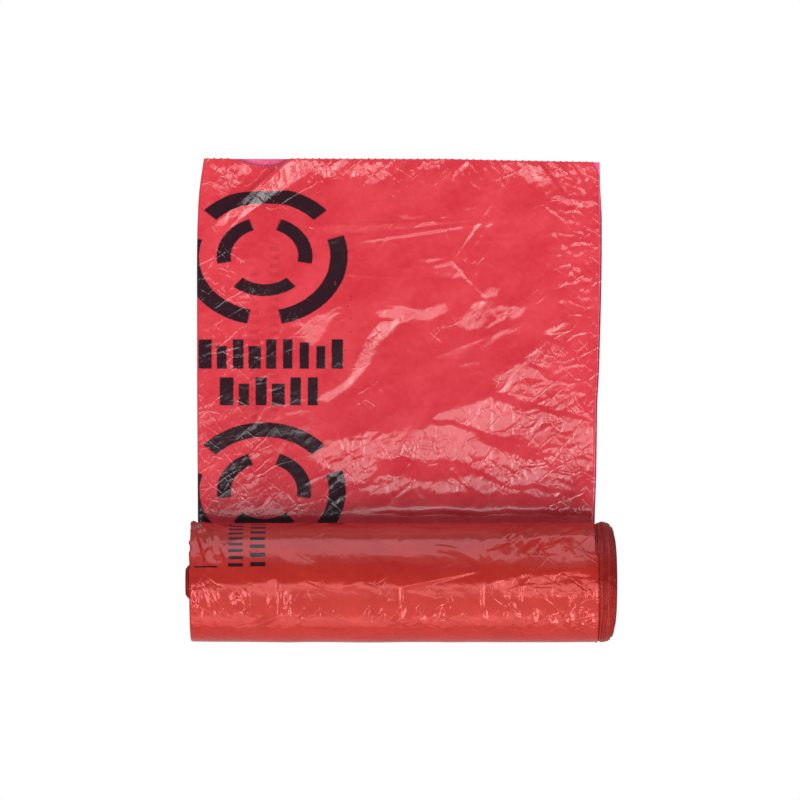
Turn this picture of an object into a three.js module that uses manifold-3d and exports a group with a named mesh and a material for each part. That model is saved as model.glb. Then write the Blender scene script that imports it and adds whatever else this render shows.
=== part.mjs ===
// A coreless roll of folded waste bags. The first bag is pulled out flat over the table, runs under the
// roll, up its near side and once round it. The other bags are wound inside that turn.
// Millimetres. X runs along the roll, +Y is the way the film pulls out and +Z is up.
// The origin lies on the table, below the middle of the whole object.
import * as THREE from "three";
import { mergeVertices } from "three/addons/utils/BufferGeometryUtils.js";
import Module from "manifold-3d";

const wasm = await Module();
wasm.setup();

// The web: each bag is a flattened tube of film that is folded once in half along its length.
const BAG_LENGTH = 610;
const WEB_WIDTH = 305;
const WEB_THICKNESS = 1.6; // four films with the air between them
const LEAD_WEB_SHIFT = -1.5; // the pulled-out bag has drifted along the roll by this much

// The roll is soft, so it lies a little flattened.
const ROLL_WIDTH = 91.6;
const ROLL_HEIGHT = 84;
const BORE_WIDTH = 20;
const BORE_HEIGHT = 12;
const PULLED_OUT = 318; // from below the roll's middle to the free edge

// The free edge was torn off along a perforation, which leaves one small point at each tie.
const TIE_PITCH = 5.4;
const TIE_WIDTH = 1.2;
const TIE_HEIGHT = 0.9;

// The wound turns have slipped along the roll in groups. One shift for each group, the outermost first.
const GROUP_SHIFTS = [4, 5.5, 6.8, 8, 2, -2.5, -5.5, -8];
const GROUP_LAP = 0.2; // neighbouring groups share this much, so they fuse into one solid

const TURN_CLEARANCE = 0.3;
const TURN_STEPS = 72;

const halfWidth = ROLL_WIDTH / 2;
const halfHeight = ROLL_HEIGHT / 2;
const turnPitch = WEB_THICKNESS + TURN_CLEARANCE;
const rollPerimeter = 2 * Math.PI * Math.hypot(halfWidth, halfHeight) / Math.SQRT2;
const wrapTurns = (BAG_LENGTH - PULLED_OUT) / rollPerimeter;

// A point on the oval that lies depth inside the roll's outer one. Turns count from the foot of the
// roll, up its near side. y is measured from the roll's middle and z from the table.
function ovalPoint(turns, depth) {
  const angle = turns * 2 * Math.PI;
  return new THREE.Vector2(
    -(halfWidth - depth) * Math.sin(angle),
    halfHeight - (halfHeight - depth) * Math.cos(angle),
  );
}

// The oval's points from one count of turns to another. The film spirals inwards by one pitch a turn.
function spiral(fromTurns, toTurns, depth) {
  const steps = Math.ceil(Math.abs(toTurns - fromTurns) * TURN_STEPS);
  const points = [];
  for (let i = 0; i <= steps; i++) {
    const turns = fromTurns + ((toTurns - fromTurns) * i) / steps;
    points.push(ovalPoint(turns, depth + turns * turnPitch));
  }
  return points;
}

function oval(width, height) {
  const points = [];
  for (let i = 0; i < TURN_STEPS; i++) {
    const angle = (i / TURN_STEPS) * 2 * Math.PI;
    points.push(
      new THREE.Vector2(-(width / 2) * Math.sin(angle), halfHeight - (height / 2) * Math.cos(angle)),
    );
  }
  return points;
}

// A section in the Y-Z plane, drawn out along X about a middle.
function drawnAlongRoll(outline, length, middle, hole) {
  const section = new THREE.Shape(outline);
  if (hole) section.holes.push(new THREE.Path([...hole].reverse()));
  const geometry = new THREE.ExtrudeGeometry(section, { depth: length, bevelEnabled: false });
  geometry.translate(0, 0, middle - length / 2);
  return geometry.applyMatrix4(
    new THREE.Matrix4().makeBasis(
      new THREE.Vector3(0, 1, 0),
      new THREE.Vector3(0, 0, 1),
      new THREE.Vector3(1, 0, 0),
    ),
  );
}

function toSolid(geometry) {
  const bare = geometry.clone();
  bare.deleteAttribute("normal");
  bare.deleteAttribute("uv");
  const merged = mergeVertices(bare, 1e-4);
  return new wasm.Manifold(
    new wasm.Mesh({
      numProp: 3,
      vertProperties: merged.attributes.position.array,
      triVerts: new Uint32Array(merged.index.array),
    }),
  );
}

function toGeometry(solid) {
  const mesh = solid.getMesh();
  const geometry = new THREE.BufferGeometry();
  geometry.setAttribute("position", new THREE.BufferAttribute(mesh.vertProperties, 3));
  geometry.setIndex(new THREE.BufferAttribute(mesh.triVerts, 1));
  geometry.computeVertexNormals();
  return geometry;
}

// The pulled-out bag from above, with the torn points along its free edge. It reaches back past the roll.
function tornOutline() {
  const left = LEAD_WEB_SHIFT - WEB_WIDTH / 2;
  const right = left + WEB_WIDTH;
  const rootEdge = PULLED_OUT - TIE_HEIGHT;
  const ties = Math.floor(WEB_WIDTH / TIE_PITCH);
  const firstTie = left + (WEB_WIDTH - (ties - 1) * TIE_PITCH) / 2;
  const outline = new THREE.Shape();
  outline.moveTo(left, -ROLL_WIDTH);
  outline.lineTo(right, -ROLL_WIDTH);
  outline.lineTo(right, rootEdge);
  for (let i = ties - 1; i >= 0; i--) {
    const middle = firstTie + i * TIE_PITCH;
    outline.lineTo(middle + TIE_WIDTH / 2, rootEdge);
    outline.lineTo(middle, PULLED_OUT);
    outline.lineTo(middle - TIE_WIDTH / 2, rootEdge);
  }
  outline.lineTo(left, rootEdge);
  outline.closePath();
  return outline;
}

function leadBag() {
  const endTurns = wrapTurns - TURN_CLEARANCE / rollPerimeter;
  const outside = spiral(0, endTurns, 0);
  const inside = spiral(0, endTurns, WEB_THICKNESS).reverse();
  const section = [
    new THREE.Vector2(PULLED_OUT, 0),
    ...outside,
    ...inside,
    new THREE.Vector2(PULLED_OUT, WEB_THICKNESS),
  ];
  const web = toSolid(drawnAlongRoll(section, WEB_WIDTH, LEAD_WEB_SHIFT));
  const plan = toSolid(
    new THREE.ExtrudeGeometry(tornOutline(), { depth: ROLL_HEIGHT + WEB_THICKNESS, bevelEnabled: false }),
  );
  return toGeometry(web.intersect(plan));
}

// The wound bags, as one ring for each group of turns that has slipped along the roll.
function woundBags() {
  const build = halfHeight - BORE_HEIGHT / 2;
  const outerDepth = WEB_THICKNESS + TURN_CLEARANCE;
  const deepest = outerDepth + wrapTurns * turnPitch;
  const groupDepth = (build - deepest) / GROUP_SHIFTS.length;
  const ringOutline = (depth) => {
    const share = (depth - deepest) / (build - deepest);
    return oval(
      THREE.MathUtils.lerp(ROLL_WIDTH - 2 * deepest, BORE_WIDTH, share),
      THREE.MathUtils.lerp(ROLL_HEIGHT - 2 * deepest, BORE_HEIGHT, share),
    );
  };
  let roll;
  GROUP_SHIFTS.forEach((shift, i) => {
    const last = i === GROUP_SHIFTS.length - 1;
    const outside = i
      ? ringOutline(deepest + i * groupDepth)
      : spiral(wrapTurns - 1, wrapTurns, outerDepth);
    const inside = ringOutline(deepest + (i + 1) * groupDepth + (last ? 0 : GROUP_LAP));
    const ring = toSolid(drawnAlongRoll(outside, WEB_WIDTH, shift, inside));
    roll = roll ? roll.add(ring) : ring;
  });
  return toGeometry(roll);
}

const flatFilm = new THREE.MeshStandardMaterial({ color: 0xdb3e4b, roughness: 0.28, metalness: 0 });
const woundFilm = new THREE.MeshStandardMaterial({ color: 0xb8332d, roughness: 0.3, metalness: 0 });

const bagRoll = new THREE.Group();

const lead = new THREE.Mesh(leadBag(), flatFilm);
lead.name = "lead_bag";
bagRoll.add(lead);

const wound = new THREE.Mesh(woundBags(), woundFilm);
wound.name = "wound_bags";
bagRoll.add(wound);

const middle = new THREE.Box3().setFromObject(bagRoll).getCenter(new THREE.Vector3());
bagRoll.position.set(-middle.x, -middle.y, 0);

const part = new THREE.Group();
part.add(bagRoll);

export default part;
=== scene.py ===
"""Visual model of a coreless roll of folded waste bags with its first bag pulled out flat."""

import math

import bmesh
import bpy
import numpy as np
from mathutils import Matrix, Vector


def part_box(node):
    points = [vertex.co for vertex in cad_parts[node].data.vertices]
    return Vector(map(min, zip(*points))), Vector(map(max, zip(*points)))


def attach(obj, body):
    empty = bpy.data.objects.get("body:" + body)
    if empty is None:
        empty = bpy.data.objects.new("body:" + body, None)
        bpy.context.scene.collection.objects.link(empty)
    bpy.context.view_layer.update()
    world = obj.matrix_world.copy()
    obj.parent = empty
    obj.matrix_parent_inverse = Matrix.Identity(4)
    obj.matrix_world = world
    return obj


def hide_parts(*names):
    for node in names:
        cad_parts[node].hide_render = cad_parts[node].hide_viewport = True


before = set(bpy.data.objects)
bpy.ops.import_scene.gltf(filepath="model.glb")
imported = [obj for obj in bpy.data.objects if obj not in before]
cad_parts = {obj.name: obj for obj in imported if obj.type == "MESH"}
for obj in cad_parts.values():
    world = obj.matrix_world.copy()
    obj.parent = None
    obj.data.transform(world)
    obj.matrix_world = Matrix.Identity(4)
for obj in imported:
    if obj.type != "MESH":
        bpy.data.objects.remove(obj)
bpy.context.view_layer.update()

bl_info = {
    "name": "Bag roll",
    "version": (1, 0, 0),
    "blender": (4, 5, 0),
    "location": "3D View > Sidebar > Bag roll",
    "description": "Builds a roll of folded film bags with the first bag pulled out flat",
    "category": "Add Mesh",
}

# Shapes are worked out in millimetres and written to the meshes in metres.
MM = 0.001
FREE_EDGE_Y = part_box("lead_bag")[1][1] / MM


class BagRollSizes(bpy.types.PropertyGroup):
    """Sizes of the bags and of the roll"""

    web_width: bpy.props.FloatProperty(
        name="Web width", description="Across a bag folded in half", default=0.305, unit="LENGTH"
    )
    bag_length: bpy.props.FloatProperty(
        name="Bag length", description="From one perforation to the next", default=0.610, unit="LENGTH"
    )
    pulled_out: bpy.props.FloatProperty(
        name="Pulled out", description="Length of the first bag that lies flat, up to under the roll",
        default=0.318, unit="LENGTH",
    )
    half_width: bpy.props.FloatProperty(
        name="Roll half width", description="From the roll's axis to its near side",
        default=0.0458, unit="LENGTH",
    )
    half_height: bpy.props.FloatProperty(
        name="Roll half height", description="From the roll's axis to its top", default=0.0420, unit="LENGTH"
    )
    turn_step: bpy.props.FloatProperty(
        name="Turn step", description="How much deeper the first bag's turn ends than it starts",
        default=0.0019, unit="LENGTH",
    )
    bore_half_height: bpy.props.FloatProperty(
        name="Bore half height", description="Half the height of the flattened bore",
        default=0.0060, unit="LENGTH",
    )
    wound_turns: bpy.props.IntProperty(
        name="Wound turns", description="Turns that show at the roll's ends", default=66, min=4, max=90
    )
    tie_pitch: bpy.props.FloatProperty(
        name="Tie pitch", description="From one tie of the perforation to the next",
        default=0.0054, unit="LENGTH",
    )
    tie_height: bpy.props.FloatProperty(
        name="Tie height", description="How far a torn tie stands out", default=0.0009, unit="LENGTH"
    )
    print_pitch: bpy.props.FloatProperty(
        name="Print pitch", description="From one repeat of the print to the next",
        default=0.1775, unit="LENGTH",
    )


def film_colour(name, description, default):
    return bpy.props.FloatVectorProperty(
        name=name, description=description, default=default, size=3, min=0, max=1, subtype="COLOR"
    )


class BagRollColours(bpy.types.PropertyGroup):
    """Colours of the film and the print"""

    # The flat film's mottling is partly its own random tone and partly painted soft sheen: its light end
    # paints lighter sheen streaks.
    flat_light_and_sheen: film_colour("Flat film, light", "Film lying flat where it is lightest", (0.70, 0.052, 0.068))
    flat_dark: film_colour("Flat film, dark", "Film lying flat where it is darkest", (0.58, 0.025, 0.038))
    wound_light: film_colour(
        "Wound film, light", "Film on the roll where it is lightest", (0.45, 0.026, 0.019)
    )
    wound_dark: film_colour(
        "Wound film, dark", "Film on the roll where it is darkest", (0.38, 0.018, 0.014)
    )
    single_light: film_colour("Single film, light", "One layer of film over white", (0.96, 0.13, 0.26))
    single_dark: film_colour("Single film, dark", "One layer of film in a fold", (0.86, 0.10, 0.21))
    ink: film_colour("Ink", "The print on the bags", (0.026, 0.006, 0.011))
    roughness: bpy.props.FloatProperty(
        name="Roughness", description="Roughness of the film", default=0.14, min=0, max=1, subtype="FACTOR"
    )


def smooth(low, high, value):
    """0 below low, 1 above high and an even curve between them."""
    t = np.clip((np.asarray(value, float) - low) / (high - low), 0.0, 1.0)
    return t * t * (3 - 2 * t)


class Web:
    """The first bag's folded web. a runs from its folded edge, s from its torn edge, n up through it."""

    def __init__(self, sizes):
        self.width = sizes.web_width / MM
        self.length = sizes.bag_length / MM
        self.pulled_out = sizes.pulled_out / MM
        self.half_width = sizes.half_width / MM
        self.half_height = sizes.half_height / MM
        self.turn_step = sizes.turn_step / MM
        self.tie_pitch = sizes.tie_pitch / MM
        self.tie_height = sizes.tie_height / MM
        self.perimeter = 2 * math.pi * math.hypot(self.half_width, self.half_height) / math.sqrt(2)
        self.roll_y = FREE_EDGE_Y - self.pulled_out
        self.top = self.pulled_out + self.perimeter / 2

    def left(self, s):
        """x of the folded edge of the flat part."""
        return np.interp(
            s,
            [0, 6, 14, 24, 36, 52, 75, 170, 240, 290],
            [-148.4, -149.4, -150.6, -151.9, -152.8, -153.4, -153.7, -153.6, -153.2, -152.9],
        )

    def right(self, s):
        """x of the two open edges of the flat part."""
        return np.interp(
            s,
            [0, 20, 32, 45, 75, 110, 160, 185, 240, 262, 290],
            [151.2, 151.4, 152.3, 152.8, 152.8, 152.2, 150.8, 149.4, 148.6, 147.8, 146.9],
        )

    def angle(self, s):
        """How far round the roll the web has come, from its underside up its near side."""
        return np.maximum(s - self.pulled_out, 0.0) / self.perimeter * 2 * math.pi

    def turned_to(self, s, facing):
        """Slope that turns the film on the roll to face so many degrees from straight up, to the far side."""
        return np.tan(np.clip(self.angle(s) - math.pi - np.radians(facing), -1.2, 1.2))

    def point(self, a, s, n):
        """World millimetres."""
        a, s, n = np.broadcast_arrays(np.asarray(a, float), np.asarray(s, float), np.asarray(n, float))
        on_roll = smooth(self.pulled_out - 12, self.pulled_out + 30, s)
        angle = self.angle(s)
        down = 0.5 + 0.5 * np.cos(angle)
        left = self.left(s) * (1 - on_roll) + (-154.6 - 1.6 * down) * on_roll
        right = self.right(s) * (1 - on_roll) + (145.4 + 3.0 * down - 2.4 * smooth(474, 484, s)) * on_roll
        x = left + (right - left) * a / self.width
        depth = n + angle / (2 * math.pi) * self.turn_step
        flat = s < self.pulled_out
        y = np.where(flat, FREE_EDGE_Y - s, self.roll_y - (self.half_width - depth) * np.sin(angle))
        z = np.where(flat, n, self.half_height - (self.half_height - depth) * np.cos(angle))
        return x, y, z

    def torn_edge(self, a):
        """s of the torn edge. It sags back near the folded edge and has a point at each tie."""
        sag = 5.8 * smooth(18, 46, a) * (1 - smooth(54, 70, a))
        phase = np.abs(((a / self.tie_pitch) % 1.0) - 0.5)
        return sag + self.torn_slant(a) - self.tie_height * np.clip(1 - phase / 0.16, 0, 1)

    def torn_slant(self, a):
        return np.interp(a, [0, 190, 240, 300], [0, 0.4, 1.6, 2.6])


def crease(a, s, start, end, rise, near, far, fade=0.3, bow=0.0):
    """A tent along start to end: it falls over near on its left side and over far on its right side."""
    (a0, s0), (a1, s1) = start, end
    length = math.hypot(a1 - a0, s1 - s0)
    ua, us = (a1 - a0) / length, (s1 - s0) / length
    t = ((a - a0) * ua + (s - s0) * us) / length
    d = -(a - a0) * us + (s - s0) * ua
    d = d - bow * 4 * t * (1 - t)
    profile = np.where(d < 0, 1 + d / near, 1 - d / far)
    ends = smooth(-fade, fade, t) * smooth(-fade, fade, 1 - t)
    return rise * np.clip(profile, 0, None) * ends


def crumple(a, s, rng, centre, radii, count, heading, spread, length, width, rise):
    """Small creases, thickest about a centre and mostly along one heading."""
    h = np.zeros_like(a)
    for _ in range(count):
        ca = centre[0] + radii[0] * rng.normal() * 0.55
        cs = centre[1] + radii[1] * rng.normal() * 0.55
        turn = heading + rng.normal() * spread
        half = 0.5 * rng.uniform(*length)
        w = rng.uniform(*width)
        r = rng.uniform(*rise) * (1 if rng.random() < 0.7 else -0.7)
        lean = rng.uniform(0.4, 2.2)
        bow = rng.normal() * 0.12 * half
        ua, us = math.cos(turn), math.sin(turn)
        reach = half * 1.5 + w * 3
        near = (np.abs(a - ca) < reach) & (np.abs(s - cs) < reach)
        if near.any():
            h[near] += crease(
                a[near], s[near], (ca - ua * half, cs - us * half), (ca + ua * half, cs + us * half),
                r, w, w * lean, 0.35, bow,
            )
    return h


def cloud(a, s, size, seed):
    """Smooth random field between -1 and 1 with bumps about size across."""
    grid = np.random.default_rng(seed).uniform(-1, 1, (160, 160))
    p, q = a / size + 20, s / size + 20
    i, j = np.floor(p).astype(int), np.floor(q).astype(int)
    fp, fq = p - i, q - j
    fp, fq = fp * fp * (3 - 2 * fp), fq * fq * (3 - 2 * fq)
    i, j = i % 159, j % 159
    low = grid[i, j] * (1 - fp) + grid[i + 1, j] * fp
    high = grid[i, j + 1] * (1 - fp) + grid[i + 1, j + 1] * fp
    return low * (1 - fq) + high * fq


def patch(a, s, corners, soft):
    """1 inside a polygon, 0 outside, with an edge soft millimetres wide."""
    distance = np.full(a.shape, 1e9)
    inside = np.zeros(a.shape, bool)
    for (a0, s0), (a1, s1) in zip(corners, corners[1:] + corners[:1]):
        da, ds = a1 - a0, s1 - s0
        t = np.clip(((a - a0) * da + (s - s0) * ds) / (da * da + ds * ds), 0, 1)
        distance = np.minimum(distance, np.hypot(a - a0 - t * da, s - s0 - t * ds))
        crosses = (s0 > s) != (s1 > s)
        at = a0 + (s - s0) * da / np.where(ds == 0, 1e-9, ds)
        inside ^= crosses & (a < at)
    return smooth(-soft / 2, soft / 2, np.where(inside, distance, -distance))


class Slopes:
    """Slopes wanted along s over a stretch of film, from which its heights are then settled."""

    def __init__(self, width, first, last, limit, sideways):
        self.s, self.a = np.meshgrid(
            np.arange(first, last + 1.0), np.arange(0.0, width + 1.0), indexing="ij"
        )
        self.first = first
        self.limit = limit
        self.sideways = sideways
        self.wanted = np.zeros(self.a.shape)

    def set(self, corners, soft, slope, seed, ragged=3.0):
        """Inside the corners the film has the slope, an array or a number."""
        a, s = self.a, self.s
        shift = [ragged * (cloud(a, s, 11, seed + k) + 0.5 * cloud(a, s, 4, seed + k + 2)) for k in (0, 1)]
        share = patch(a + shift[0], s + shift[1], corners, soft)
        self.wanted = self.wanted * (1 - share) + slope * share

    def tucks(self, corners, slope, spacing, width, turn, seed):
        """Thin back steps inside the corners, so that a long fall stays low."""
        a, s = self.a, self.s
        across = s * math.cos(turn) + a * math.sin(turn)
        across = across + 7 * cloud(a, s, 40, seed) + 3 * cloud(a, s, 13, seed + 1)
        phase = np.abs((across / spacing) % 1.0 - 0.5) * spacing
        cut = (1 - smooth(width * 0.4, width, phase)) * patch(a, s, corners, 6)
        cut = cut * smooth(-0.5, 0.1, cloud(a, s, 22, seed + 2))
        self.wanted = self.wanted * (1 - cut) + slope * cut

    def settle(self):
        """Heights in millimetres whose slopes are as near as they can be to the wanted ones."""
        edge = 0.5 * (self.wanted[1:] + self.wanted[:-1])
        source = np.zeros_like(self.wanted)
        source[:-1] += edge
        source[1:] -= edge
        rows, columns = source.shape
        mirrored = np.concatenate([source, source[::-1]], 0)
        mirrored = np.concatenate([mirrored, mirrored[:, ::-1]], 1)
        waves = np.fft.rfft2(mirrored)
        along = 2 * np.cos(np.pi * np.arange(2 * rows) / rows) - 2
        across = self.sideways * (2 * np.cos(np.pi * np.arange(columns + 1) / columns) - 2)
        waves = waves / (along[:, None] + across[None, :] - 1 / self.limit**2)
        self.height = np.fft.irfft2(waves, mirrored.shape)[:rows, :columns]
        return self

    def at(self, a, s):
        rows, columns = self.height.shape
        p = np.clip(a, 0, columns - 1.001)
        q = np.clip(s - self.first, 0, rows - 1.001)
        i, j = q.astype(int), p.astype(int)
        fq, fp = q - i, p - j
        h = self.height
        return (h[i, j] * (1 - fp) + h[i, j + 1] * fp) * (1 - fq) + (
            h[i + 1, j] * (1 - fp) + h[i + 1, j + 1] * fp
        ) * fq


# Stretches of the flat film that catch the big light, as corners (a, s), each with how ragged it is
# and how much steeper than needed it stands.
SHEEN_BY_THE_ROLL = [
    (268, 121), (264, 136), (253, 147), (240, 154), (227, 165), (226, 178), (209, 184), (188, 191),
    (174, 204), (157, 215), (152, 251), (242, 252), (282, 258), (301, 251), (301, 198), (286, 176),
    (282, 160), (281, 130), (276, 120),
]
SHEEN_LOW_LEFT = [
    (90, 223), (101, 214), (117, 210), (136, 207), (148, 213), (155, 223), (152, 250), (139, 253),
    (116, 251), (101, 236),
]
SHEEN_PATCHES = [
    (SHEEN_BY_THE_ROLL, 3.0, 0.085),
    (SHEEN_LOW_LEFT, 3.0, 0.085),
    ([(136, 116), (148, 111), (170, 114), (188, 107), (188, 117), (173, 121), (157, 123), (138, 121)],
     1.5, 0.09),
    ([(204, 117), (214, 104), (219, 96), (227, 96), (226, 111), (251, 111), (247, 118), (231, 123),
      (207, 132), (195, 124)], 1.5, 0.08),
    ([(159, 122), (151, 127), (138, 144), (126, 163), (117, 173), (100, 184), (90, 182), (108, 173),
      (117, 162), (123, 148), (129, 135), (138, 123)], 1.5, 0.12),
    ([(77, 124), (92, 117), (110, 111), (98, 126), (92, 142), (79, 138)], 2.0, 0.06),
    ([(6, 3), (31, 5), (30, 20), (19, 32), (11, 26), (8, 14)], 3.0, 0.05),
    ([(66, 2), (79, 2), (92, 3), (78, 14), (55, 29), (33, 44), (23, 44), (39, 29), (54, 14)], 1.0, 0.10),
    ([(86, 2), (110, 2), (105, 12), (89, 14)], 3.0, 0.08),
    ([(115, 2), (143, 2), (140, 17), (128, 20), (117, 12)], 3.0, 0.06),
    ([(168, 1), (187, 1), (182, 7), (171, 7)], 2.0, 0.08),
    ([(198, 2), (204, 2), (202, 13), (198, 12)], 1.0, 0.08),
    ([(229, 2), (238, 3), (235, 24), (230, 21)], 1.0, 0.10),
    ([(242, 3), (257, 4), (257, 21), (250, 20)], 1.0, 0.10),
    ([(266, 4), (276, 4), (281, 28), (275, 26)], 2.0, 0.08),
    ([(288, 5), (299, 6), (298, 24), (294, 23)], 2.0, 0.08),
    ([(144, 42), (162, 41), (180, 44), (178, 48), (158, 48)], 3.0, 0.0),
    ([(182, 79), (193, 79), (202, 84), (201, 91), (186, 92), (177, 86)], 2.0, 0.02),
    ([(198, 36), (214, 35), (213, 38), (199, 39)], 2.0, 0.02),
    ([(286, 29), (304, 27), (304, 111), (294, 115), (292, 77)], 5.0, 0.0),
]
DULL_IN_THE_SHEEN = [
    [(139, 227), (184, 232), (210, 235), (207, 239), (176, 243), (139, 239)],
    [(213, 206), (229, 211), (252, 218), (267, 224), (269, 229), (252, 226), (229, 219), (214, 212)],
    [(227, 176), (238, 178), (246, 185), (257, 186), (260, 190), (245, 188), (229, 182)],
]


def flat_slopes(web):
    film = Slopes(web.width, -8.0, 330.0, limit=42.0, sideways=0.3)
    # the fall towards the roll at which the film begins to mirror the big light
    turning = 0.044 + 0.000349 * (FREE_EDGE_Y - film.s)
    calm = np.clip(0.038 - turning, 0.0, 0.038)
    film.wanted = calm + 0.022 * cloud(film.a, film.s, 26, 90) + 0.014 * cloud(film.a, film.s, 9, 91)
    for number, (corners, ragged, extra) in enumerate(SHEEN_PATCHES):
        vary = 1 + 0.35 * cloud(film.a, film.s, 20, 500 + number)
        film.set(corners, 2.5, -(turning + extra * vary), 100 + 10 * number, ragged)
    for corners in DULL_IN_THE_SHEEN:
        film.set(corners, 2.0, 0.08, 400, 1.0)
    film.tucks(SHEEN_BY_THE_ROLL, 0.26, 27.0, 1.3, -0.25, 410)
    film.tucks(SHEEN_LOW_LEFT, 0.26, 22.0, 1.3, 0.5, 420)
    return film.settle()


def flat_relief(web, a, s):
    """How far the top film of the pulled-out bag stands up from lying flat."""
    rng = np.random.default_rng(11)
    h = 1.1 + flat_slopes(web).at(a, s)
    # the rise in front of the roll and the drop under it
    ripple = 1.5 * cloud(a, s * 0, 24, 60) + 0.6 * cloud(a, s * 0, 7, 61)
    rise = smooth(226, 263, s) * (1 - np.clip((s + ripple - 263.5) / 6.5, 0, 1) ** 2)
    h += rise * (0.15 + 0.75 * smooth(110, 165, a)) * (1 + 0.3 * cloud(a, s * 0, 18, 62))
    # folds that run right across
    h += crease(a, s, (92, 60), (218, 48), 0.45, 1.3, 11, 0.1, 1.2)
    h += crease(a, s, (92, 50), (232, 45), 0.5, 1.3, 7, 0.12, 0.5)
    h += crease(a, s, (128, 62), (190, 53), 0.35, 3, 1.2, 0.2)
    h += crease(a, s, (165, 51), (188, 43), 0.4, 3, 1.2, 0.2)
    h += crease(a, s, (188, 53), (192, 75), 0.35, 1.4, 2.5, 0.15, -1.5)
    h += crease(a, s, (166, 76), (190, 74), 0.3, 1.2, 3.0, 0.2)
    h += crease(a, s, (178, 81), (193, 77), 0.4, 1.4, 2.0, 0.2)
    h += crease(a, s, (190, 75), (201, 86), 0.4, 1.4, 1.6, 0.2)
    h += crease(a, s, (112, 87), (152, 89.5), 0.22, 1.1, 2.5, 0.15)
    h += crease(a, s, (200, 86), (216, 102), 0.35, 1.5, 2.0, 0.2)
    h += crease(a, s, (194, 74), (226, 28), 0.42, 7, 1.8, 0.15)
    h += crease(a, s, (200, 78), (222, 46), 0.25, 5, 1.8, 0.15)
    h += crease(a, s, (184, 148), (256, 119), 0.42, 1.8, 8, 0.12)
    h += crease(a, s, (190, 141), (240, 126), 0.35, 1.4, 5, 0.15)
    h += crease(a, s, (196, 155), (216, 152), 0.3, 1.4, 4, 0.2)
    # the corners
    h += crease(a, s, (14, 47), (70, -4), 1.6, 1.6, 12, 0.12)
    h += crease(a, s, (24, 52), (60, 8), 0.6, 1.6, 6, 0.2)
    h += crease(a, s, (258, 2), (280, 30), 1.3, 1.7, 11, 0.15)
    h += crease(a, s, (280, 30), (302, 31), 0.7, 1.7, 6, 0.2)
    h += crease(a, s, (286, 3), (295, 26), 0.8, 2, 3, 0.2)
    # fold lines of the layers below
    h += crease(a, s, (224, 165), (223, 262), 0.30, 1.2, 1.2, 0.12)
    h += crease(a, s, (241, 178), (240, 255), 0.30, 1.2, 1.2, 0.12)
    h += crease(a, s, (78, 110), (78, 280), 0.22, 1.4, 2.0, 0.15)
    h += crease(a, s, (44, 90), (46, 290), 0.18, 1.4, 1.6, 0.15)
    # small creases
    h += crumple(a, s, rng, (150, 8), (140, 9), 170, 1.4, 0.5, (4, 18), (1.2, 3.0), (0.1, 0.4))
    h += crumple(a, s, rng, (285, 65), (20, 60), 120, 0.2, 0.6, (5, 20), (1.2, 3.0), (0.08, 0.35))
    h += crumple(a, s, rng, (262, 195), (36, 45), 90, -0.4, 0.7, (6, 26), (1.0, 2.4), (0.06, 0.28))
    h += crumple(a, s, rng, (120, 225), (36, 26), 50, -0.7, 0.6, (6, 24), (1.0, 2.4), (0.06, 0.28))
    h += crumple(a, s, rng, (215, 235), (70, 22), 70, 0.3, 0.9, (5, 20), (1.2, 3.0), (0.06, 0.3))
    h += crumple(a, s, rng, (208, 74), (18, 26), 8, -0.6, 0.5, (8, 30), (1.2, 3), (0.05, 0.15))
    h += crumple(a, s, rng, (180, 60), (75, 40), 60, -0.1, 0.6, (6, 22), (1.2, 2.5), (0.03, 0.12))
    h += crumple(a, s, rng, (50, 200), (14, 110), 70, -0.9, 0.5, (5, 18), (1.2, 3.0), (0.06, 0.28))
    h += crumple(a, s, rng, (20, 90), (22, 90), 45, -0.8, 0.6, (6, 26), (1.2, 3.5), (0.06, 0.28))
    h += crumple(a, s, rng, (150, 120), (50, 10), 26, -0.9, 0.5, (5, 16), (1.2, 3.0), (0.05, 0.2))
    h += crumple(a, s, rng, (228, 112), (24, 14), 26, -1.1, 0.4, (6, 22), (1.2, 3.0), (0.06, 0.25))
    h += crumple(a, s, rng, (160, 150), (150, 140), 60, -0.3, 1.2, (8, 34), (1.6, 5), (0.02, 0.09))
    return h


def flat_wear(a, s):
    """Where the flat film is full of fine wrinkles: 0 to 1."""
    wear = 0.12 + 0.8 * (1 - smooth(4, 26, s))
    wear += 0.8 * smooth(262, 290, a) * (0.55 + 0.45 * smooth(-0.4, 0.5, cloud(a, s, 16, 71)))
    wear += 0.42 * patch(a + 4 * cloud(a, s, 14, 72), s, SHEEN_BY_THE_ROLL, 10)
    wear += 0.5 * patch(a + 4 * cloud(a, s, 14, 73), s, SHEEN_LOW_LEFT, 10)
    wear += 0.7 * (1 - smooth(20, 92, a)) * (0.4 + 0.6 * smooth(-0.2, 0.6, cloud(a, s, 15, 74)))
    wear += 0.6 * smooth(0.25, 0.8, cloud(a, s, 26, 75))
    return np.clip(wear, 0.0, 1.0)


# Where the film on the roll faces the light beside the camera.
ROLL_SHEEN = [
    (67, 430), (67, 449), (110, 452), (151, 451), (199, 451), (220, 456), (251, 464), (275, 466), (293, 467),
    (299, 464), (300, 430),
]
ROLL_SHEEN_LEFT = [(24, 447), (37, 452), (52, 456), (66, 460), (67, 445), (30, 441)]
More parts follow.
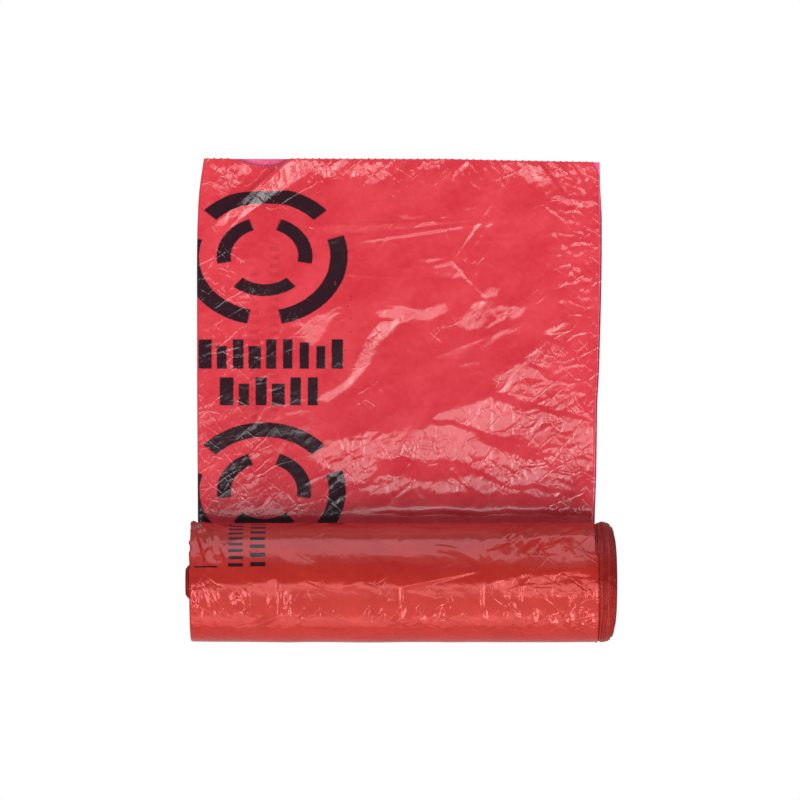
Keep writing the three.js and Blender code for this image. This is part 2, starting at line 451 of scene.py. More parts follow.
# Ridges that run up the near side, as start, end, rise and the run on either side.
ROLL_RIDGES = [
    ((8, 449), (8, 430), 0.55, 2.6),
    ((14.5, 450), (18, 432), 0.6, 2.8),
    ((19, 452), (23.5, 436), 0.55, 2.6),
    ((35, 448), (38, 432), 0.8, 4.5),
    ((41, 453), (44, 447), 0.3, 2.0),
    ((61, 446), (59, 439), 0.35, 2.2),
    ((74, 449), (73, 431), 0.65, 3.0),
    ((43, 420), (68, 434), 0.8, 4.0),
    ((81, 424), (84, 431), 0.4, 2.5),
    ((160, 442), (157, 431), 0.5, 3.0),
    ((172, 435), (175, 424), 0.6, 3.5),
    ((219, 443), (220, 428), 0.5, 2.5),
    ((152, 424), (158, 431), 0.4, 2.5),
    ((240, 441), (245, 430), 0.6, 3.5),
    ((256, 438), (258, 428), 0.5, 3.0),
    ((266, 438), (271, 422), 0.9, 4.5),
    ((277, 433), (283, 424), 0.6, 3.5),
    ((291, 434), (293, 422), 0.7, 3.5),
]
# Where the far side's sheen reaches over towards the top, and where it stops short.
FAR_SHEEN = [
    [(64, 490), (98, 490), (96, 470), (84, 469), (70, 474)],
    [(176, 490), (214, 492), (224, 480), (206, 474), (188, 478)],
    [(10, 505), (27, 505), (28, 474), (20, 470), (13, 472)],
]
FAR_DULL = [(232, 489), (262, 493), (299, 496), (299, 480), (232, 478)]


def turn_slopes(web):
    film = Slopes(web.width, 400.0, 540.0, limit=22.0, sideways=0.3)
    film.wanted += 0.03 * cloud(film.a, film.s, 18, 690)
    for number, corners in enumerate((ROLL_SHEEN, ROLL_SHEEN_LEFT)):
        facing = -3.6 - 1.2 * cloud(film.a, film.s, 14, 620 + number)
        slope = web.turned_to(film.s, facing) * smooth(440, 452, film.s)
        film.set(corners, 2.0, slope, 610 + 10 * number, 1.2)
    for number, corners in enumerate(FAR_SHEEN):
        film.set(corners, 2.5, np.minimum(0.0, web.turned_to(film.s, 31.0)), 640 + 10 * number, 1.6)
    film.set(FAR_DULL, 3.0, np.maximum(0.0, web.turned_to(film.s, 23.0)), 680, 2.0)
    return film.settle()


def turn_relief(web, a, s):
    """How far the outer film stands out from the roll."""
    rng = np.random.default_rng(23)
    h = turn_slopes(web).at(a, s)
    h += crease(a, s, (159, 454), (218, 467), 0.5, 2.2, 9, 0.12)
    h += crease(a, s, (185, 486), (214, 474), 0.6, 6, 2.5, 0.2, 3)
    for at, first, last, rise in [
        (67, 425, 515, 0.45), (99, 470, 515, 0.4), (158, 430, 490, 0.3), (218, 425, 490, 0.4),
        (247, 440, 515, 0.4),
    ]:
        h += crease(a, s, (at, first), (at + 1.5, last), rise, 1.2, 1.4, 0.15)
    # diagonal folds in the grey band
    for start, end in [((243, 510), (256, 476)), ((256, 510), (268, 480)), ((283, 505), (290, 478))]:
        h += crease(a, s, start, end, 0.55, 2.0, 6.0, 0.15)
    # the loose flap at the folded end
    h += crease(a, s, (3, 508), (14, 468), 1.5, 1.6, 7, 0.12)
    h += crease(a, s, (11, 506), (19, 478), 1.1, 1.8, 5, 0.2)
    h += crease(a, s, (19, 500), (27, 474), 0.9, 1.8, 4, 0.2)
    h += crumple(a, s, rng, (6, 516), (8, 12), 10, 1.2, 0.6, (8, 18), (2.5, 5), (0.5, 1.2))
    h += crumple(a, s, rng, (18, 490), (14, 18), 8, 1.1, 0.5, (10, 26), (2.5, 7), (0.2, 0.6))
    # slanted streaks and puckers of the near side
    for start, end, rise, run in ROLL_RIDGES:
        h += crease(a, s, start, end, 1.15 * rise, run, run, 0.25)
    h += crumple(a, s, rng, (172, 429), (20, 7), 8, 1.0, 0.4, (7, 18), (1.8, 4), (0.25, 0.6))
    h += crumple(a, s, rng, (266, 428), (32, 7), 14, 0.9, 0.5, (7, 20), (2.0, 5), (0.2, 0.5))
    h += crumple(a, s, rng, (296, 430), (5, 14), 24, 0.4, 0.5, (4, 10), (1.2, 2.5), (0.2, 0.5))
    h += crumple(a, s, rng, (260, 492), (40, 14), 46, 1.1, 0.5, (8, 24), (1.6, 4), (0.2, 0.65))
    h += crumple(a, s, rng, (152, 462), (160, 60), 120, 0.4, 1.0, (8, 34), (2, 7), (0.03, 0.16))
    return np.clip(h, -1.0, None)


def turn_wear(a, s):
    wear = 0.15 + 0.25 * (1 - smooth(18, 40, a)) + 0.6 * smooth(225, 285, a)
    wear += 0.6 * (1 - smooth(10, 22, np.abs(s - 430))) * (0.4 + 0.6 * smooth(-0.3, 0.5, cloud(a, s, 20, 81)))
    wear += 0.5 * smooth(0.2, 0.8, cloud(a, s, 24, 82))
    return np.clip(wear, 0.0, 1.0)


def lattice(name, columns, rows, place, wear):
    """A grid mesh with its web UVs in metres and its wear. place gives world millimetres."""
    a, s = np.meshgrid(columns, rows)
    points = np.stack(place(a, s), -1).reshape(-1, 3) * MM
    index = np.arange(a.size).reshape(a.shape)
    quads = np.stack([index[:-1, :-1], index[1:, :-1], index[1:, 1:], index[:-1, 1:]], -1).reshape(-1, 4)
    mesh = bpy.data.meshes.new(name)
    mesh.vertices.add(len(points))
    mesh.vertices.foreach_set("co", points.ravel())
    mesh.loops.add(quads.size)
    mesh.loops.foreach_set("vertex_index", quads.ravel())
    mesh.polygons.add(len(quads))
    mesh.polygons.foreach_set("loop_start", np.arange(0, quads.size, 4))
    mesh.polygons.foreach_set("loop_total", np.full(len(quads), 4))
    mesh.polygons.foreach_set("use_smooth", np.ones(len(quads), bool))
    mesh.update(calc_edges=True)
    uv = np.stack([a.ravel(), s.ravel()], -1)[quads.ravel()] * MM
    mesh.uv_layers.new(name="web").data.foreach_set("uv", uv.ravel())
    mesh.attributes.new("wear", "FLOAT", "POINT").data.foreach_set("value", wear(a, s).ravel())
    mesh.validate()
    obj = bpy.data.objects.new(name, mesh)
    bpy.context.scene.collection.objects.link(obj)
    return obj


class Field:
    """A number worked out by shader nodes, so that patterns can be written as sums."""

    def __init__(self, tree, socket):
        self.tree, self.socket = tree, socket

    def node(self, operation, *others, clamp=False):
        made = self.tree.nodes.new("ShaderNodeMath")
        made.operation = operation
        made.use_clamp = clamp
        for slot, value in zip(made.inputs, (self,) + others):
            if isinstance(value, Field):
                self.tree.links.new(value.socket, slot)
            else:
                slot.default_value = value
        return Field(self.tree, made.outputs[0])

    def __add__(self, other):
        return self.node("ADD", other)

    def __sub__(self, other):
        return self.node("SUBTRACT", other)

    def __mul__(self, other):
        return self.node("MULTIPLY", other)

    def __truediv__(self, other):
        return self.node("DIVIDE", other)

    def above(self, low, soft):
        """0 below low and 1 a little above it."""
        return ((self - (low - soft / 2)) / soft).node("ADD", 0.0, clamp=True)

    def within(self, low, high, soft):
        """1 between low and high with soft edges, 0 outside."""
        return self.above(low, soft) - self.above(high, soft)

    def stretch(self, gain, middle):
        """Contrast raised about a middle value, kept between 0 and 1."""
        return self.node("MULTIPLY_ADD", gain, 0.5 - middle * gain, clamp=True)


class Finish:
    """A procedural material being put together on the web's own UVs."""

    def __init__(self, name):
        self.material = bpy.data.materials.new(name)
        self.material.use_nodes = True
        self.tree = self.material.node_tree
        self.shader = self.tree.nodes["Principled BSDF"]

    def web(self):
        uv = self.tree.nodes.new("ShaderNodeUVMap")
        uv.uv_map = "web"
        return uv.outputs[0]

    def place(self):
        """The two web distances in metres."""
        split = self.tree.nodes.new("ShaderNodeSeparateXYZ")
        self.tree.links.new(self.web(), split.inputs[0])
        return Field(self.tree, split.outputs[0]), Field(self.tree, split.outputs[1])

    def wear(self):
        attribute = self.tree.nodes.new("ShaderNodeAttribute")
        attribute.attribute_name = "wear"
        return Field(self.tree, attribute.outputs["Fac"])

    def cells(self, size, longer, turn, warp=0.0):
        """The web in units of size millimetres, drawn out longer along one heading and warped."""
        vector = self.web()
        if warp:
            noise = self.tree.nodes.new("ShaderNodeTexNoise")
            noise.inputs["Scale"].default_value = 700 / size
            noise.inputs["Detail"].default_value = 1.0
            self.tree.links.new(vector, noise.inputs["Vector"])
            shift = self.tree.nodes.new("ShaderNodeVectorMath")
            shift.operation = "MULTIPLY_ADD"
            self.tree.links.new(noise.outputs["Color"], shift.inputs[0])
            shift.inputs[1].default_value = (warp * size * MM,) * 3
            self.tree.links.new(vector, shift.inputs[2])
            vector = shift.outputs[0]
        turned = self.tree.nodes.new("ShaderNodeMapping")
        turned.inputs["Rotation"].default_value = (0, 0, turn)
        self.tree.links.new(vector, turned.inputs["Vector"])
        drawn = self.tree.nodes.new("ShaderNodeMapping")
        drawn.inputs["Scale"].default_value = (1000 / size / longer, 1000 / size, 1)
        self.tree.links.new(turned.outputs[0], drawn.inputs["Vector"])
        return drawn.outputs[0]

    def noise(self, size, longer=1.0, turn=0.0, detail=2.0):
        noise = self.tree.nodes.new("ShaderNodeTexNoise")
        noise.noise_dimensions = "2D"
        noise.inputs["Scale"].default_value = 1.0
        noise.inputs["Detail"].default_value = detail
        self.tree.links.new(self.cells(size, longer, turn), noise.inputs["Vector"])
        return Field(self.tree, noise.outputs[0])

    def creases(self, size, longer, turn, width, warp=0.5):
        """Thin lines along the borders of long cells: 1 on a line, 0 width millimetres from it."""
        cells = self.tree.nodes.new("ShaderNodeTexVoronoi")
        cells.voronoi_dimensions = "2D"
        cells.feature = "DISTANCE_TO_EDGE"
        cells.inputs["Scale"].default_value = 1.0
        self.tree.links.new(self.cells(size, longer, turn, warp), cells.inputs["Vector"])
        return (Field(self.tree, cells.outputs["Distance"]) * (-size / width)).node("ADD", 1.0, clamp=True)

    def facets(self, size, longer, turn):
        """Flat cells of random height."""
        cells = self.tree.nodes.new("ShaderNodeTexVoronoi")
        cells.voronoi_dimensions = "2D"
        cells.feature = "SMOOTH_F1"
        cells.inputs["Scale"].default_value = 1.0
        cells.inputs["Smoothness"].default_value = 0.25
        self.tree.links.new(self.cells(size, longer, turn, 0.4), cells.inputs["Vector"])
        return Field(self.tree, cells.outputs["Distance"])

    def blend(self, share, first, second):
        mix = self.tree.nodes.new("ShaderNodeMix")
        mix.data_type = "RGBA"
        self.tree.links.new(share.socket, mix.inputs["Factor"])
        for slot, colour in zip([i for i in mix.inputs if i.type == "RGBA"], (first, second)):
            if isinstance(colour, bpy.types.NodeSocket):
                self.tree.links.new(colour, slot)
            else:
                slot.default_value = (*colour, 1)
        return [o for o in mix.outputs if o.type == "RGBA"][0]

    def colour(self, socket):
        self.tree.links.new(socket, self.shader.inputs["Base Color"])

    def bump(self, height):
        """height is in millimetres."""
        node = self.tree.nodes.new("ShaderNodeBump")
        node.inputs["Strength"].default_value = 1.0
        node.inputs["Distance"].default_value = MM
        self.tree.links.new(height.socket, node.inputs["Height"])
        self.tree.links.new(node.outputs[0], self.shader.inputs["Normal"])


def broken_rings(a, s, middle_a, middle_s, pitch):
    """Two broken oval rings, one inside the other, repeated along the web."""
    across = (a - middle_a) * 0.83
    along = (s - (middle_s - pitch / 2)).node("FLOORED_MODULO", pitch) - pitch / 2
    reach = (across * across + along * along).node("SQRT")
    turn = along.node("ARCTAN2", across) / (2 * math.pi)
    outer_gap = (turn * 3 + 0.25).node("FLOORED_MODULO", 1.0)
    inner_gap = (turn * 3 + 0.75).node("FLOORED_MODULO", 1.0)
    outer = reach.within(0.0410, 0.0520, 0.0006) * outer_gap.within(0.10, 0.90, 0.012)
    inner = reach.within(0.0210, 0.0300, 0.0006) * inner_gap.within(0.16, 0.84, 0.02)
    return outer.node("MAXIMUM", inner)


def block_row(a, s, middle_s, height, first, last, pitch):
    """A row of upright blocks of uneven width and height."""
    place = (a - first) / pitch
    cell = place.node("FLOOR")
    chance = (cell.node("MULTIPLY_ADD", 12.9898, 4.1).node("SINE") * 437.585).node("FRACT")
    width = chance * 0.14 + 0.27
    column = place.node("FRACT") - 0.5
    top = (chance * 7.31).node("FRACT").above(0.6, 0.02) * (height * 0.24)
    return (
        s.above(top * -1.0 + (middle_s - height * 0.32), 0.0006)
        * (s * -1.0).above(-(middle_s + height / 2), 0.0006)
        * a.within(first, last, 0.0006)
        * column.node("ABSOLUTE").node("SUBTRACT", width).node("MULTIPLY", -1.0).above(0.0, 0.04)
    )


def dash_column(a, s, first_a, last_a, first_s, last_s, pitch):
    """Short bars one after the other along the web."""
    bar = ((s - first_s) / pitch).node("FRACT")
    return a.within(first_a, last_a, 0.0004) * s.within(first_s, last_s, 0.0004) * bar.within(0.15, 0.6, 0.06)


def front_print(finish, a, s, pitch):
    """Generic rings and blocks in place of the bag's own symbol and words."""
    a = a + (finish.noise(2.2, detail=1) - 0.5) * 0.0007
    row = (s - 0.0127).node("FLOORED_MODULO", pitch) + 0.0127
    blocks = block_row(a, row, 0.1484, 0.021, 0.000, 0.111, 0.0125).node(
        "MAXIMUM", block_row(a, row, 0.1766, 0.020, 0.016, 0.094, 0.0131)
    )
    ink = broken_rings(a, s, 0.051, 0.0740, pitch).node("MAXIMUM", blocks) * s.above(0.0185, 0.001)
    missed = finish.noise(1.3, 2.5, 0.8, 1).stretch(9.0, 0.78) * finish.noise(9, detail=1).stretch(6.0, 0.62)
    return ink * (missed * -0.8 + 1.0)


def front_ghost(finish, a, s):
    """The lower layer's print, faint through the film."""
    first = dash_column(a, s, 0.040, 0.047, 0.085, 0.196, 0.0072)
    second = dash_column(a, s, 0.055, 0.062, 0.066, 0.196, 0.0064)
    third = dash_column(a, s, 0.042, 0.049, 0.258, 0.300, 0.0072)
    fourth = dash_column(a, s, 0.056, 0.063, 0.258, 0.300, 0.0064)
    specks = finish.noise(2.4, detail=0).above(0.87, 0.02) * a.within(0.106, 0.122, 0.002) * 1.8
    ghost = first.node("MAXIMUM", second).node("MAXIMUM", third).node("MAXIMUM", fourth)
    return (ghost * 0.24).node("MAXIMUM", specks).node("MINIMUM", 1.0)


def back_print(finish, a, s, pitch):
    first = dash_column(a, s, 0.029, 0.040, 0.4685, 0.545, 0.0058)
    second = dash_column(a, s, 0.0454, 0.0568, 0.4685, 0.545, 0.0074)
    tick = a.within(0.0037, 0.021, 0.0004) * s.within(0.4686, 0.4698, 0.0004)
    return first.node("MAXIMUM", second).node("MAXIMUM", tick)


def film_finish(
    name, light, dark, colours, tint=0.0, specular=0.5, ink=None, ghost=None, pitch=0.0, wrinkle=1.0
):
    """Thin glossy film: mottled colour, which on the flat film is partly painted soft sheen, print, a net of
    fine creases and facets where it is worn.
    """
    finish = Finish(name)
    a, s = finish.place()
    wear = finish.wear()
    # Random tone between the dark and light colours; on the flat film this mottling also paints soft sheen
    # streaks.
    wide = finish.noise(22, 1.8, 0.5, 4).stretch(2.8, 0.5)
    fine = finish.noise(4, 1.5, -0.5, 2).stretch(2.2, 0.5)
    colour = finish.blend(wide * 0.7 + fine * 0.3, dark, light)
    if ghost:
        colour = finish.blend(ghost(finish, a, s), colour, tuple(c * 0.45 for c in dark))
    if ink:
        colour = finish.blend(ink(finish, a, s, pitch), colour, colours.ink)
    finish.colour(colour)
    finish.shader.inputs["Roughness"].default_value = colours.roughness
    finish.shader.inputs["IOR"].default_value = 1.51
    finish.shader.inputs["Metallic"].default_value = tint
    finish.shader.inputs["Specular IOR Level"].default_value = specular
    some = finish.noise(26, 1.3, 0.3, 2).stretch(5.0, 0.5)
    other = finish.noise(17, 1.3, -0.9, 2).stretch(5.0, 0.5)
    height = finish.creases(13, 2.8, 0.62, 0.9) * some * 0.16
    height = height + finish.creases(8, 2.2, -0.9, 0.7) * other * 0.12
    height = height - finish.creases(10, 2.6, 1.5, 0.8) * other * 0.12
    height = height + finish.facets(5.5, 1.7, 0.9) * 0.16
    height = height * wear + finish.noise(4.5, 1.6, 0.5, 3) * (wear * 0.06 + 0.06)
    height = height + finish.noise(15, 2.2, 0.4, 1) * 0.25
    height = height + finish.noise(1.2, 1.4, -0.4, 1) * 0.018
    finish.bump(height * wrinkle)
    return finish.material


def settings(context):
    return context.scene.bag_roll_sizes, context.scene.bag_roll_colours


def add_film(obj, material):
    obj.data.materials.append(material)
    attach(obj, "root")


class BAGROLL_OT_top_film(bpy.types.Operator):
    """The printed top film of the pulled-out bag, with its torn edge and its creases"""

    bl_idname = "bag_roll.top_film"
    bl_label = "Top film"

    def execute(self, context):
        sizes, colours = settings(context)
        web = Web(sizes)
        columns = np.concatenate(
            [[0, 0.25, 0.5], np.linspace(1, web.width - 1, 297), web.width - np.array([0.5, 0.25, 0])]
        )
        rows = np.concatenate([[-2.0, -1.0, 0.0, 0.5], np.linspace(1.1, 292, 288), np.linspace(304, 606, 30)])
        top = lattice("bag_film_top", columns, rows, lambda a, s: self.place(web, a, s), flat_wear)
        # The flat film's mottling runs up to a light colour that paints soft sheen streaks.
        add_film(top, film_finish(
            "flat_film", colours.flat_light_and_sheen, colours.flat_dark, colours,
            ink=front_print, ghost=front_ghost, pitch=sizes.print_pitch,
        ))
        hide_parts("lead_bag")
        return {"FINISHED"}

    @staticmethod
    def place(web, a, s):
        edge = web.torn_edge(a)
        drawn = np.where(s < 40, edge + (40 - edge) * np.clip(s, 0, None) / 40, s)
        relief = flat_relief(web, a, np.clip(drawn, 0, None)) * (1 - smooth(283, 306, s))
        fold = np.sqrt(np.clip(1 - (1 - np.clip(a / 1.6, 0, 1)) ** 2, 0, 1))
        lip = np.sqrt(np.clip(1 - (1 - np.clip((web.width - a) / 0.9, 0, 1)) ** 2, 0, 1))
        n = 0.6 + (0.65 + np.clip(relief, -0.35, None)) * (0.15 + 0.85 * fold) * (0.5 + 0.5 * lip)
        # under the roll it lies inside the outer film, and the first two rows turn the torn edge down
        n = n + 0.75 * smooth(300, 345, s)
        n = n - 0.35 * np.clip(-s / 2.0, 0, 1)
        x, y, z = web.point(a, drawn, n)
        drawn_in = 6.8 * np.clip(1 - drawn / 17, 0, 1) ** 1.4 * smooth(240, web.width, a)
        return x - drawn_in - 2.0 * smooth(200, web.width, a) * smooth(12, 30, drawn), y, z


class BAGROLL_OT_inner_film(bpy.types.Operator):
    """The single layers inside the bag that show at its corners and right edge"""

    bl_idname = "bag_roll.inner_film"
    bl_label = "Inner film"

    def execute(self, context):
        sizes, colours = settings(context)
        web = Web(sizes)
        columns = np.linspace(0, web.width, 60)
        rows = np.concatenate([np.linspace(0, 318, 64), np.linspace(324, 610, 72)])
        inner = lattice("bag_film_inner", columns, rows, lambda a, s: self.place(web, a, s), flat_wear)
        add_film(
            inner, film_finish("single_film", colours.single_light, colours.single_dark, colours)
        )
        return {"FINISHED"}

    @staticmethod
    def place(web, a, s):
        slant = web.torn_slant(a)
        along = np.where(s < 40, slant + (40 - slant) * s / 40, s)
        x, y, z = web.point(a, along, 0.55 + 1.15 * smooth(300, 345, s))
        return x - 1.2 * smooth(200, web.width, a) * smooth(20, 50, along), y, z


class BAGROLL_OT_outer_film(bpy.types.Operator):
    """The bag's other outer film: under the flat part, then the outside of the turn round the roll"""

    bl_idname = "bag_roll.outer_film"
    bl_label = "Outer film"

    def execute(self, context):
        sizes, colours = settings(context)
        web = Web(sizes)
        columns = np.concatenate(
            [[0, 0.3], np.linspace(0.8, web.width - 0.8, 288), [web.width - 0.3, web.width]]
        )
        rows = np.concatenate([
            np.linspace(0, 300, 40), np.linspace(306, 396, 40), np.linspace(397, 540, 210),
            np.linspace(542, web.length, 40),
        ])
        outer = lattice("bag_film_outer", columns, rows, lambda a, s: self.place(web, a, s), turn_wear)
        add_film(outer, film_finish(
            "wound_film", colours.wound_light, colours.wound_dark, colours,
            tint=0.13, specular=0.28, ink=back_print, pitch=sizes.print_pitch, wrinkle=1.2,
        ))
        return {"FINISHED"}

    @staticmethod
    def place(web, a, s):
        slant = web.torn_slant(a)
        along = np.where(s < 40, slant + (40 - slant) * s / 40, s)
        relief = turn_relief(web, a, along) * smooth(330, 360, s) * (1 - smooth(560, 585, s))
        # the folded end closes inwards and the open one curls out a little
        closing = 0.6 * (1 - np.clip(a / 1.2, 0, 1)) - 0.45 * smooth(web.width - 2.5, web.width, a)
        x, y, z = web.point(a, along, 0.12 + (0.38 + closing) * smooth(312, 350, s) - relief)
        ragged = 0.9 * cloud(s, s * 0, 5, 95) * (1 - smooth(0, 8, a)) * smooth(462, 486, s)
        return x + ragged, y, z


# Room over the wound turns for the first bag's own turn. Beyond its right edge they spring out again,
# between the two places given as x, and leave only the last of the room.
TURN_ROOM = 3.0
FLARE_START, FLARE_END = 144.2, 146.0
FLARE_ROOM = 0.7


def turn_slips(count, pitch):
    """How far each wound turn stands out at the right end, from the outermost in."""
    depth = np.arange(count) * pitch
    slip = np.interp(
        depth,
        [0, 0.8, 2, 4.8, 9.6, 14.4, 17, 19.2, 24, 29, 33.5],
        [-2.0, 1.6, 3.0, 5.2, 6.6, 7.6, 8.0, 5, 0, -4, -7.8],
    )
    return slip + np.random.default_rng(5).normal(0, 0.26, count)


def wound_finish(colours, web, middle_y, middle_z, pitch):
    """Film wound edge on: every turn a little lighter or darker, with thin dark gaps."""
    finish = Finish("wound_turns")
    place = finish.tree.nodes.new("ShaderNodeTexCoord")
    split = finish.tree.nodes.new("ShaderNodeSeparateXYZ")
    finish.tree.links.new(place.outputs["Object"], split.inputs[0])
    x, y, z = (Field(finish.tree, output) for output in split.outputs)
    up = z - middle_z
    out = (y - middle_y) * (web.half_height / web.half_width)
    depth = (up * up + out * out).node("SQRT") / (pitch * MM)
    turn_tone = finish.tree.nodes.new("ShaderNodeTexNoise")
    turn_tone.noise_dimensions = "1D"
    turn_tone.inputs["Scale"].default_value = 0.9
    turn_tone.inputs["Detail"].default_value = 3.0
    finish.tree.links.new(depth.socket, turn_tone.inputs["W"])
    tone = Field(finish.tree, turn_tone.outputs[0]).stretch(3.0, 0.5)
    grain = finish.tree.nodes.new("ShaderNodeTexNoise")
    grain.inputs["Scale"].default_value = 160.0
    grain.inputs["Detail"].default_value = 3.0
    finish.tree.links.new(place.outputs["Object"], grain.inputs["Vector"])
    grain = Field(finish.tree, grain.outputs[0])
    finish.shader.inputs["Roughness"].default_value = 0.3
    finish.shader.inputs["IOR"].default_value = 1.51
    finish.shader.inputs["Metallic"].default_value = 0.15
    finish.shader.inputs["Specular IOR Level"].default_value = 0.14
    # edges of the turns along the outside, and creases across them
    drawn = finish.tree.nodes.new("ShaderNodeMapping")
    drawn.inputs["Scale"].default_value = (900, 45, 45)
    finish.tree.links.new(place.outputs["Object"], drawn.inputs["Vector"])
    edges = finish.tree.nodes.new("ShaderNodeTexNoise")
    edges.inputs["Scale"].default_value = 1.0
    edges.inputs["Detail"].default_value = 4.0
    finish.tree.links.new(drawn.outputs[0], edges.inputs["Vector"])
    edges = Field(finish.tree, edges.outputs[0])
    light = tone * 0.45 + edges.stretch(2.6, 0.5) * 0.35 + grain * 0.2
    finish.colour(finish.blend(light, tuple(c * 0.5 for c in colours.wound_dark), colours.wound_dark))
    finish.bump(edges * 1.3 + grain * 1.3 + tone * 0.1)
    return finish.material


class BAGROLL_OT_wound_turns(bpy.types.Operator):
    """The bags still wound under the first one, with their turns shifted at both ends and the bore"""

    bl_idname = "bag_roll.wound_turns"
    bl_label = "Wound turns"

    def execute(self, context):
        sizes, colours = settings(context)
        web = Web(sizes)
        turns = sizes.wound_turns
        pitch = (web.half_height - TURN_ROOM - sizes.bore_half_height / MM) / turns
        slips = turn_slips(turns, pitch)
        bpy.ops.object.select_all(action="DESELECT")
        bpy.ops.mesh.primitive_cylinder_add(
            vertices=144, radius=1, depth=2, end_fill_type="NGON", rotation=(0, math.pi / 2, 0)
        )
        obj = context.object
        obj.name = obj.data.name = "wound_turns"
        obj.location = (slips[0] * MM, web.roll_y * MM, web.half_height * MM)
        obj.scale = (
            (web.half_height - TURN_ROOM) * MM, (web.half_width - TURN_ROOM) * MM, web.width / 2 * MM,
        )
        bpy.ops.object.transform_apply(location=True, rotation=True, scale=True)
        bpy.ops.object.mode_set(mode="EDIT")
        self.flare(obj, web)
        for side in (1, -1):
            self.step_end(obj, side, slips, pitch)
        self.bridge_bore(obj)
        bpy.ops.object.mode_set(mode="OBJECT")
        bpy.ops.object.shade_smooth_by_angle(angle=math.radians(38))
        add_film(obj, wound_finish(colours, web, web.roll_y * MM, web.half_height * MM, pitch))
        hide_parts("wound_bags")
        return {"FINISHED"}

    @staticmethod
    def flare(obj, web):
        """Beyond the first bag's edge the turns spring out to its outside."""
        bpy.ops.mesh.select_all(action="SELECT")
        bpy.ops.mesh.bisect(plane_co=(FLARE_START * MM, 0, 0), plane_no=(1, 0, 0))
        mesh = bmesh.from_edit_mesh(obj.data)
        grow = 1 + (TURN_ROOM - FLARE_ROOM) / web.half_height
        for vertex in mesh.verts:
            if vertex.co.x > FLARE_END * MM:
                vertex.co.y = web.roll_y * MM + (vertex.co.y - web.roll_y * MM) * grow
                vertex.co.z = web.half_height * MM + (vertex.co.z - web.half_height * MM) * grow
        bmesh.update_edit_mesh(obj.data)

    @staticmethod
    def step_end(obj, side, slips, pitch):
        """Insets one end turn by turn, each turn with a narrow groove before the next."""
        bpy.ops.mesh.select_mode(type="FACE")
        bpy.ops.mesh.select_all(action="DESELECT")
        mesh = bmesh.from_edit_mesh(obj.data)
        for face in mesh.faces:
            face.select = len(face.verts) > 4 and face.normal.x * side > 0.9
        bmesh.update_edit_mesh(obj.data)
        groove = -0.35
        for slip, following in zip(slips, np.append(slips[1:], slips[-1])):
            step = side * (following - slip)
            bpy.ops.mesh.inset(thickness=pitch * 0.62 * MM, depth=0.0)
            bpy.ops.mesh.inset(thickness=pitch * 0.18 * MM, depth=groove * MM)
            bpy.ops.mesh.inset(thickness=pitch * 0.20 * MM, depth=(step - groove) * MM)

    @staticmethod
    def bridge_bore(obj):
        mesh = bmesh.from_edit_mesh(obj.data)
        ends = [face for face in mesh.faces if len(face.verts) > 4]
        bmesh.ops.delete(mesh, geom=ends, context="FACES_ONLY")
        bmesh.update_edit_mesh(obj.data)
        bpy.ops.mesh.select_mode(type="EDGE")
        bpy.ops.mesh.select_all(action="DESELECT")
        mesh = bmesh.from_edit_mesh(obj.data)
        for edge in mesh.edges:
            edge.select = edge.is_boundary
        bmesh.update_edit_mesh(obj.data)
        bpy.ops.mesh.bridge_edge_loops()


def look_at(obj, target):
    obj.rotation_euler = (Vector(target) - obj.location).to_track_quat("-Z", "Y").to_euler()


def softbox(name, place, width, height, radiance, colour=(1, 1, 1)):
    light = bpy.data.lights.new(name, "AREA")
    light.shape = "RECTANGLE"
    light.size, light.size_y = width, height
    light.energy = radiance * math.pi * width * height
    light.color = colour
    obj = bpy.data.objects.new(name, light)
    bpy.context.scene.collection.objects.link(obj)
    obj.location = place
    look_at(obj, (0, 0, 0))


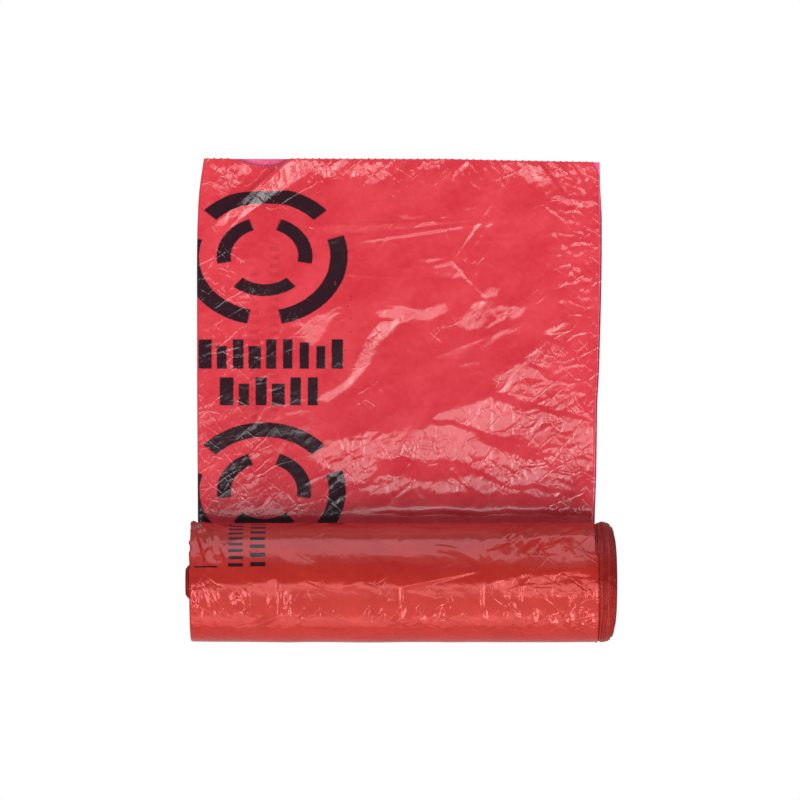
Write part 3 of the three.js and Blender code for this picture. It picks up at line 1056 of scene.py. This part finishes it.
class BAGROLL_OT_stage(bpy.types.Operator):
    """Camera straight above, softboxes and a table that shows white"""

    bl_idname = "bag_roll.stage"
    bl_label = "Stage"

    def execute(self, context):
        scene = context.scene
        camera = bpy.data.cameras.new("camera")
        camera.sensor_width = 36
        camera.lens = 36 * 2.6 / (800 * 0.757 * MM)
        camera.clip_end = 50
        view = bpy.data.objects.new("camera", camera)
        view.location = (0, -0.9 * MM, 2.6)
        scene.collection.objects.link(view)
        scene.camera = view
        scene.view_settings.view_transform = "Standard"
        world = bpy.data.worlds.new("studio")
        world.use_nodes = True
        world.node_tree.nodes["Background"].inputs["Color"].default_value = (1, 1, 1, 1)
        world.node_tree.nodes["Background"].inputs["Strength"].default_value = 0.10
        scene.world = world
        self.table()
        softbox("key", (0, -1.93, 2.3), 4.2, 3.9, 1.12)
        softbox("strip", (0, -0.53, 3.3), 3.0, 0.5, 2.9)
        softbox("front", (0, -3.2, 0.9), 4.0, 1.4, 1.75)
        softbox("far", (0, 3.2, 1.25), 4.0, 2.4, 3.3, (0.56, 0.86, 1.0))
        softbox("far high", (0, 2.9, 3.0), 4.0, 1.3, 0.6, (0.62, 0.86, 1.0))
        softbox("left", (-2.6, 0, 1.5), 2.5, 1.6, 0.5)
        softbox("right", (2.6, 0, 1.5), 2.5, 1.6, 0.5)
        softbox("left lamp", (-1.0, -1.3, 2.4), 0.5, 1.8, 8)
        softbox("right lamp", (1.1, -1.1, 2.4), 0.5, 1.8, 7)
        softbox("low lamp", (0.8, -2.8, 1.6), 0.5, 0.8, 13)
        return {"FINISHED"}

    @staticmethod
    def table():
        """A grey table that the camera sees as white paper, as in a cut-out photograph."""
        bpy.ops.object.select_all(action="DESELECT")
        bpy.ops.mesh.primitive_plane_add(size=8, location=(0, 0, 0))
        table = bpy.context.object
        table.name = "table"
        finish = Finish("table")
        finish.shader.inputs["Base Color"].default_value = (0.35, 0.35, 0.35, 1)
        finish.shader.inputs["Roughness"].default_value = 0.8
        nodes, links = finish.tree.nodes, finish.tree.links
        path = nodes.new("ShaderNodeLightPath")
        white = nodes.new("ShaderNodeEmission")
        mix = nodes.new("ShaderNodeMixShader")
        links.new(path.outputs["Is Camera Ray"], mix.inputs[0])
        links.new(finish.shader.outputs[0], mix.inputs[1])
        links.new(white.outputs[0], mix.inputs[2])
        links.new(mix.outputs[0], nodes["Material Output"].inputs["Surface"])
        table.data.materials.append(finish.material)


STEPS = (
    BAGROLL_OT_wound_turns,
    BAGROLL_OT_outer_film,
    BAGROLL_OT_inner_film,
    BAGROLL_OT_top_film,
    BAGROLL_OT_stage,
)


class BAGROLL_PT_pieces(bpy.types.Panel):
    """The bag roll's sizes, colours and pieces"""

    bl_label = "Bag roll"
    bl_idname = "BAGROLL_PT_pieces"
    bl_space_type = "VIEW_3D"
    bl_region_type = "UI"
    bl_category = "Bag roll"

    def draw(self, context):
        for group in settings(context):
            box = self.layout.box()
            for key in group.__annotations__:
                box.prop(group, key)
        for step in STEPS:
            self.layout.operator(step.bl_idname)


CLASSES = (BagRollSizes, BagRollColours) + STEPS + (BAGROLL_PT_pieces,)


def register():
    for cls in CLASSES:
        bpy.utils.register_class(cls)
    bpy.types.Scene.bag_roll_sizes = bpy.props.PointerProperty(type=BagRollSizes)
    bpy.types.Scene.bag_roll_colours = bpy.props.PointerProperty(type=BagRollColours)


def unregister():
    del bpy.types.Scene.bag_roll_sizes
    del bpy.types.Scene.bag_roll_colours
    for cls in reversed(CLASSES):
        bpy.utils.unregister_class(cls)


def main():
    register()
    bpy.ops.bag_roll.wound_turns()
    bpy.ops.bag_roll.outer_film()
    bpy.ops.bag_roll.inner_film()
    bpy.ops.bag_roll.top_film()
    bpy.ops.bag_roll.stage()


if __name__ == "__main__":
    main()
